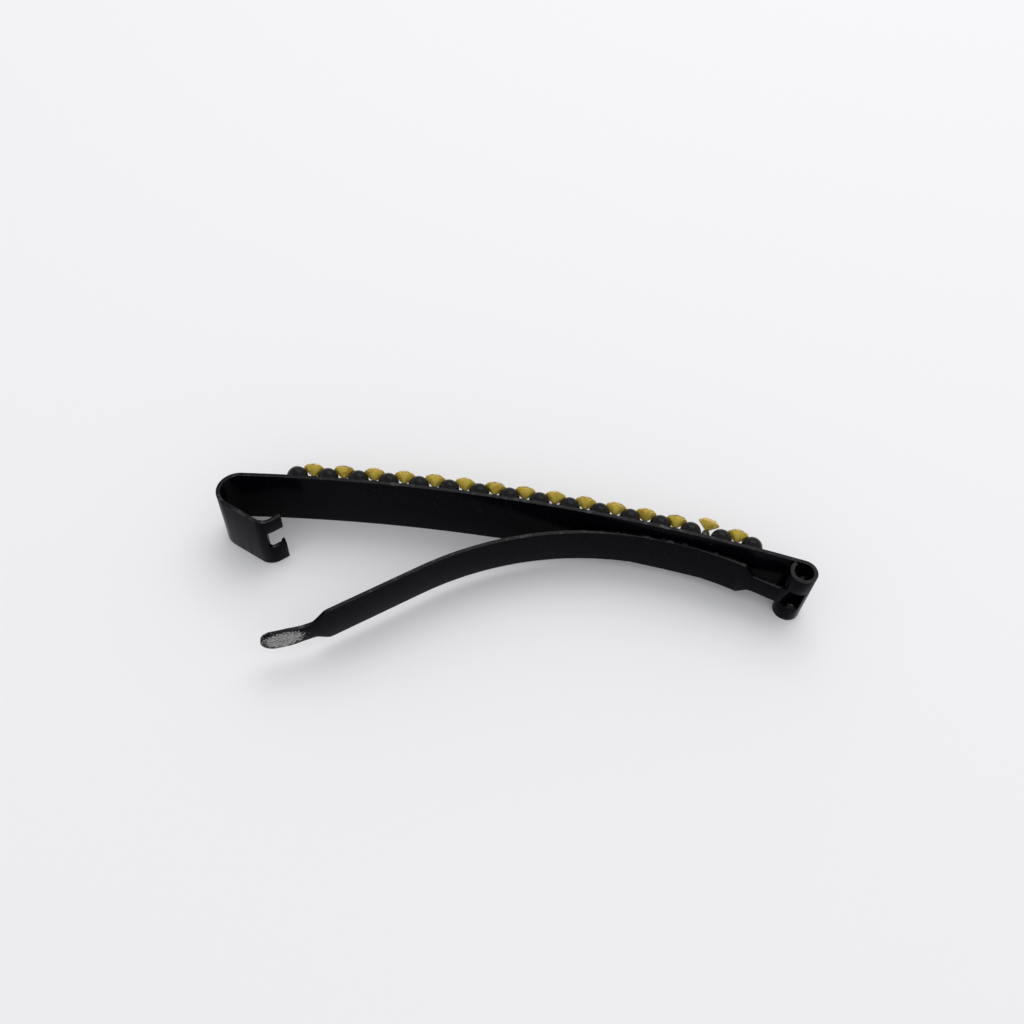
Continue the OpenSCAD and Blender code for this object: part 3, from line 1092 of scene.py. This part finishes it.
class CLIP_OT_glue(Operator):
    """Models one drop of glue and sets one under each stone"""
    bl_idname = "clip.glue"
    bl_label = "Glue Drops"

    def execute(self, context):
        clip = context.scene.clip
        trim, plan = clip.trim, Plan(clip)
        master = self.model_drop(clip)
        for row, side in ROWS:
            for n in range(1, trim.beads):
                turn = row_turn(clip, n - 0.5)
                drop = copy_of(master, f"glue_{row}_{n:02d}")
                swell = 1 + 0.08 * math.sin(n * 2.3 + side)
                tall = 1.0
                if side > 0 and n == trim.loose:
                    tall += trim.loose_lift / (trim.tip_height - trim.carrier)
                shape = Matrix.Rotation(n * 0.9, 4, "Z") @ Matrix.Diagonal((swell, 1, tall, 1))
                inset = Matrix.Translation((0, 0, -side * trim.stones_in))
                put(drop, inset @ seat_matrix(clip, plan, turn, side, trim.carrier) @ shape)
                smooth(drop, 60)
                finish_piece(drop, "bar", "glue", f"glue_{row}")
        bpy.data.objects.remove(master)
        return {"FINISHED"}

    def model_drop(self, clip):
        """A drop that spreads at its foot and reaches up round a stone's tip."""
        trim = clip.trim
        rise = trim.tip_height - trim.carrier
        clear_selection()
        bpy.ops.mesh.primitive_circle_add(vertices=16, radius=trim.glue_foot,
                                          fill_type="NGON", location=(0, 0, BED_GAP))
        drop = made("drop")
        settle()
        edit()
        bpy.ops.mesh.select_mode(type="FACE")
        select_all()
        reach, width = 0.0, 1.0
        for height, wanted in DROP_PROFILE:
            step = (height - reach) * rise
            bpy.ops.mesh.extrude_region_move(TRANSFORM_OT_translate={"value": (0, 0, step)})
            bpy.ops.transform.resize(value=(wanted / width, wanted / width, 1),
                                     center_override=(0, 0, 0))
            reach, width = height, wanted
        end_strip()
        modify(drop, "SUBSURF", levels=1, render_levels=1)
        drop.data.materials.append(milky_glue(clip.finish))
        return drop


class CLIP_OT_stage(Operator):
    """Sets up the floor, the light and the camera"""
    bl_idname = "clip.stage"
    bl_label = "Stage"

    def execute(self, context):
        scene = context.scene
        stage = scene.clip.stage
        self.lay_floor(stage)
        self.hang_lights(scene, stage)
        self.set_camera(scene, stage)
        scene.view_settings.view_transform = "Standard"
        return {"FINISHED"}

    def lay_floor(self, stage):
        """A large flat pale sheet under the clip."""
        clear_selection()
        bpy.ops.mesh.primitive_plane_add(size=stage.span, location=(0, 0, CAD_BOX[0].z))
        floor = made("pale_floor")
        settle()
        floor.data.materials.append(pale_floor(stage))

    def hang_lights(self, scene, stage):
        """An even pale sky and one large soft light behind and above."""
        world = bpy.data.worlds.new("Pale sky")
        world.use_nodes = True
        sky = world.node_tree.nodes["Background"]
        sky.inputs["Color"].default_value = (0.97, 0.98, 1.0, 1)
        sky.inputs["Strength"].default_value = stage.sky
        scene.world = world
        light = bpy.data.lights.new("soft_window", "AREA")
        light.shape = "RECTANGLE"
        light.size, light.size_y = 0.42, 0.32
        light.energy = stage.window
        light.color = (1.0, 0.985, 0.96)
        lamp = bpy.data.objects.new("soft_window", light)
        lamp.location = (0.06, 0.26, 0.40)
        lamp.rotation_euler = (Vector() - lamp.location).to_track_quat("-Z", "Y").to_euler()
        scene.collection.objects.link(lamp)

    def set_camera(self, scene, stage):
        """The camera at its place, looking down along the bar's inner face."""
        lens = bpy.data.cameras.new("camera")
        lens.sensor_width = 36.0
        lens.angle = stage.field
        lens.clip_start, lens.clip_end = 0.005, 20.0
        camera = bpy.data.objects.new("camera", lens)
        turn = (Matrix.Rotation(stage.heading, 4, "Z")
                @ Matrix.Rotation(math.pi / 2 - stage.pitch, 4, "X")
                @ Matrix.Rotation(stage.roll, 4, "Z"))
        camera.matrix_world = Matrix.Translation(Vector(stage.eye)) @ turn
        scene.collection.objects.link(camera)
        scene.camera = camera


# ---- panel and registration

OPERATORS = (CLIP_OT_stage, CLIP_OT_bar, CLIP_OT_arm, CLIP_OT_carrier, CLIP_OT_beads,
             CLIP_OT_stones, CLIP_OT_glue)


class CLIP_PT_make(Panel):
    """Lists the clip's pieces"""
    bl_label = "Hair Clip"
    bl_idname = "CLIP_PT_make"
    bl_space_type = "VIEW_3D"
    bl_region_type = "UI"
    bl_category = "Hair Clip"

    def draw(self, context):
        for operator in OPERATORS:
            self.layout.operator(operator.bl_idname)


class ClipSettings(PropertyGroup):
    """All settings of the clip"""
    bar: PointerProperty(type=ClipBarSizes)
    arm: PointerProperty(type=ClipArmSizes)
    trim: PointerProperty(type=ClipTrimSizes)
    finish: PointerProperty(type=ClipFinish)
    stage: PointerProperty(type=ClipStage)


CLASSES = (ClipBarSizes, ClipArmSizes, ClipTrimSizes, ClipFinish, ClipStage, ClipSettings,
           *OPERATORS, CLIP_PT_make)


def register():
    """Registers the classes and hangs the settings on the scene."""
    for item in CLASSES:
        bpy.utils.register_class(item)
    bpy.types.Scene.clip = PointerProperty(type=ClipSettings)


def unregister():
    """Takes the settings off the scene and removes the classes."""
    del bpy.types.Scene.clip
    for item in reversed(CLASSES):
        bpy.utils.unregister_class(item)


def main():
    """Makes every piece in order."""
    register()
    for make in (bpy.ops.clip.stage, bpy.ops.clip.bar, bpy.ops.clip.arm,
                 bpy.ops.clip.carrier, bpy.ops.clip.beads, bpy.ops.clip.stones,
                 bpy.ops.clip.glue):
        make()


if __name__ == "__main__":
    main()
